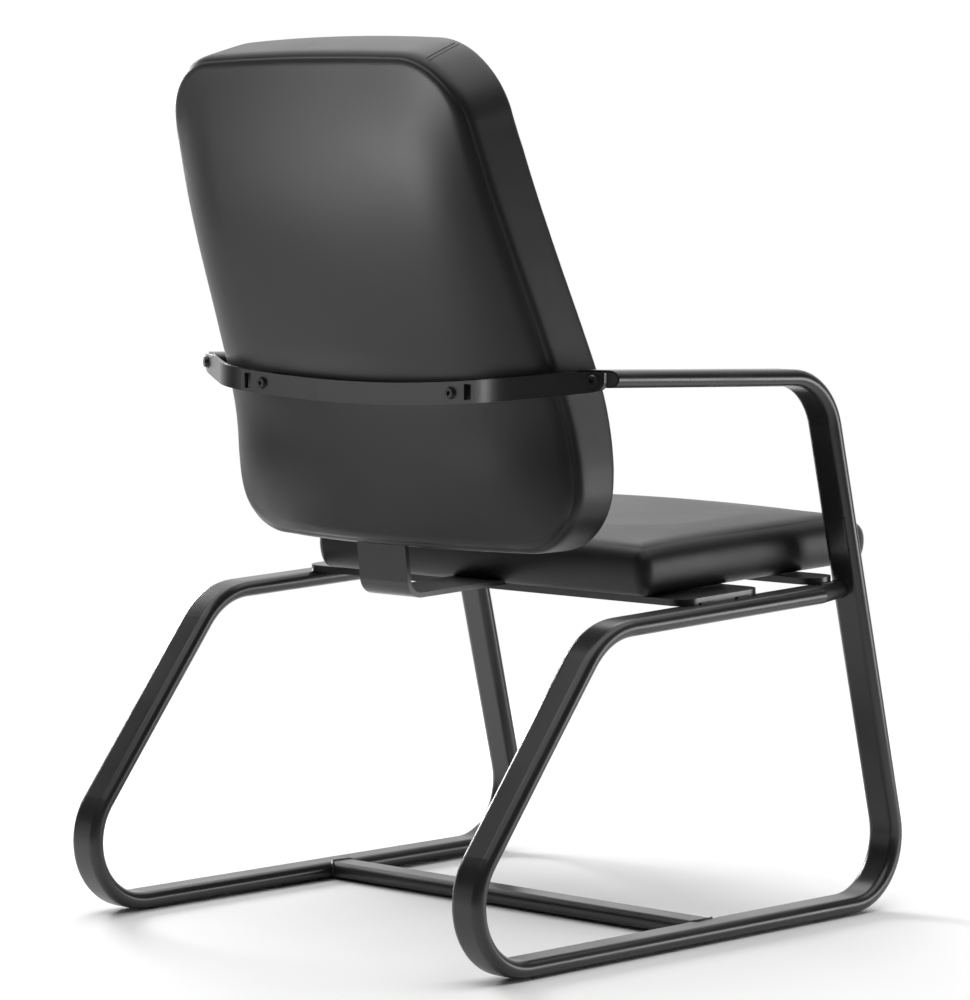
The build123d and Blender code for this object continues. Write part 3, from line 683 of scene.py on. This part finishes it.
form, apart = padded_form(
    (104, 112, 21),
    back_half_at,
    back_low,
    back_high,
    rear_face,
    front_face,
    back_rolls,
    side_of_back,
    back_seam,
    on_back,
    2,
)
edge_reach = 0.022
edge_fade = 0.012
rear_half_y = 0.15
held = []
for vert, gap in zip(form.verts, apart):
    edge_hold = min(max((edge_reach - gap) / edge_fade, 0), 1)
    under_strap = strap_face(vert.co) is not None and vert.co.y > rear_half_y
    held.append(1.0 if under_strap else edge_hold)
back = piece_from("back_upholstery", form)
swell(back, held, pressure=4, cap=0.004)
for vert in back.data.vertices:
    press = strap_face(vert.co)
    if press is not None and press.y - strap_gap < vert.co.y < press.y + strap_reach:
        vert.co.y = press.y - strap_gap
back.data.materials.append(black_leather)
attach(back, "root")
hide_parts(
    "back_cover_rear", "back_cover_band", "back_cover_front", "back_foam_rear", "back_foam_front"
)

# Band seams: the lengths of the edge band are sewn together at both top corners, on a slight slant. Each
# seam is a dark pinched line with a row of black polyester top stitching beside it, on the finished surface.
seam_turn = radians(27)
seam_slant = 0.18
seam_inset = 0.012
stitch_row = 0.0052
stitch_pitch = 0.0046
stitch_length = 0.0034
thread_radius = 0.0004
stitch_rise = 0.0001


def on_band(side, shift, y, proud):
    """A point of the band near its corner seam, this far along the outline and off the surface."""
    turn = seam_turn - shift / back_top_corner
    level = back_high - back_top_corner
    middle = back_half_at(level) - back_top_corner
    across, up = sin(turn), cos(turn)
    far, near = back_top_corner + 0.04, back_top_corner - 0.06
    outside = on_back(side * (middle + far * across), level + far * up, y)
    inside = on_back(side * (middle + near * across), level + near * up, y)
    spot = back_skin.ray_cast(outside, (inside - outside).normalized())[0]
    return spot + (outside - inside).normalized() * proud


back_skin = skin_of(back)
seams = bmesh.new()
for side in (-1, 1):
    level = back_high - back_top_corner * (1 - cos(seam_turn))
    rear_y = rear_face(side * back_half_at(level), level) - seam_inset
    depth = rear_y - front_face(side * back_half_at(level), level, 0) - seam_inset
    pinched = []
    for step in range(41):
        past = depth * step / 40
        pinched.append(on_band(side, seam_slant * past, rear_y - past, 0))
    seams.from_mesh(bead(pinched, thread_radius, False))
    for step in range(int(depth / stitch_pitch)):
        stitch = []
        for share in (0, 0.5, 1):
            past = stitch_pitch * step + stitch_length * share
            stitch.append(on_band(side, seam_slant * past + stitch_row, rear_y - past, stitch_rise))
        seams.from_mesh(bead(stitch, thread_radius, False))
stitching = piece_from("band_stitching", seams)
thread = finish("black_polyester_thread", (0.012, 0.012, 0.012), 0.7, 0.05, 1800, 50, 0.00005)
stitching.data.materials.append(thread)
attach(stitching, "root")

# Floor, light and camera: a pale studio floor before a white backdrop that lights the chair from one side.
# Soft lamps overhead, in front and at the sides do the rest, with a gridded one on the upper back. The camera
# has the photo's place and lens.
bpy.ops.mesh.primitive_circle_add(vertices=128, radius=4, fill_type="NGON", location=(0, 0, 0))
floor = bpy.context.object
floor.name = "studio_floor"
pale = bpy.data.materials.new("pale_floor")
pale.use_nodes = True
tree = pale.node_tree
shader = tree.nodes["Principled BSDF"]
shader.inputs["Base Color"].default_value = (0.96, 0.96, 0.96, 1)
shader.inputs["Roughness"].default_value = 0.8
shader.inputs["Specular IOR Level"].default_value = 0.2
place = tree.nodes.new("ShaderNodeTexCoord")
radius = tree.nodes.new("ShaderNodeVectorMath")
radius.operation = "LENGTH"
fade = tree.nodes.new("ShaderNodeMapRange")
fade.interpolation_type = "SMOOTHSTEP"
fade.inputs["From Min"].default_value = 0.8
fade.inputs["From Max"].default_value = 3.0
fade.inputs["To Min"].default_value = 1
fade.inputs["To Max"].default_value = 0
tree.links.new(place.outputs["Object"], radius.inputs[0])
tree.links.new(radius.outputs["Value"], fade.inputs["Value"])
tree.links.new(fade.outputs["Result"], shader.inputs["Alpha"])
floor.data.materials.append(pale)
world = bpy.data.worlds.new("studio_room")
world.use_nodes = True
tree = world.node_tree
place = tree.nodes.new("ShaderNodeTexCoord")
towards = tree.nodes.new("ShaderNodeVectorMath")
towards.operation = "DOT_PRODUCT"
towards.inputs[1].default_value = (0.69, -0.72, 0)
bright = tree.nodes.new("ShaderNodeMapRange")
bright.interpolation_type = "SMOOTHSTEP"
bright.inputs["From Min"].default_value = 0.35
bright.inputs["From Max"].default_value = 0.97
bright.inputs["To Min"].default_value = 0.04
bright.inputs["To Max"].default_value = 1.0
tree.links.new(place.outputs["Generated"], towards.inputs[0])
tree.links.new(towards.outputs["Value"], bright.inputs["Value"])
seen = tree.nodes.new("ShaderNodeLightPath")
white = tree.nodes.new("ShaderNodeMath")
white.operation = "MAXIMUM"
tree.links.new(bright.outputs["Result"], white.inputs[0])
tree.links.new(seen.outputs["Is Camera Ray"], white.inputs[1])
tree.links.new(white.outputs["Value"], tree.nodes["Background"].inputs["Strength"])
tree.nodes["Background"].inputs["Color"].default_value = (1, 1, 1, 1)
bpy.context.scene.world = world
for name, place, aim, width, height, spread, power in (
    ("ceiling_softbox", (0, -0.3, 3.8), (0, -0.3, 0), 6, 6, 180, 220),
    ("front_softbox", (3.0, -0.6, 1.3), (0, 0.2, 0.5), 1, 0.8, 180, 75),
    ("top_softbox", (1.87, -1.49, 2.67), (0, 0.2, 0.7), 1.2, 1, 180, 4),
    ("side_softbox", (-2.24, -2.04, 0.26), (0, 0.2, 0.7), 1.2, 1, 180, 24),
    ("rear_grid_softbox", (1.44, 3.02, 0.26), (0.04, 0.42, 1.0), 0.9, 0.5, 18, 1.4),
    ("strap_strip_lamp", (2.24, 2.44, 0.26), (0, 0.4, 0.6), 1, 1, 180, 2.6),
):
    lamp = bpy.data.lights.new(name, "AREA")
    lamp.shape = "RECTANGLE"
    lamp.size = width
    lamp.size_y = height
    lamp.spread = radians(spread)
    lamp.energy = power
    holder = bpy.data.objects.new(name, lamp)
    holder.location = place
    holder.rotation_euler = (Vector(aim) - Vector(place)).to_track_quat("-Z", "Y").to_euler()
    holder.visible_camera = False
    bpy.context.scene.collection.objects.link(holder)
lens = bpy.data.cameras.new("photo_camera")
lens.lens = 154.29
lens.sensor_width = 36
camera = bpy.data.objects.new("photo_camera", lens)
camera.location = (-3.574, 3.7102, 0.9131)
camera.rotation_mode = "QUATERNION"
camera.rotation_quaternion = Vector((0.6941, -0.7154, -0.0802)).to_track_quat("-Z", "Y")
bpy.context.scene.collection.objects.link(camera)
bpy.context.scene.camera = camera
bpy.context.scene.view_settings.view_transform = "Standard"
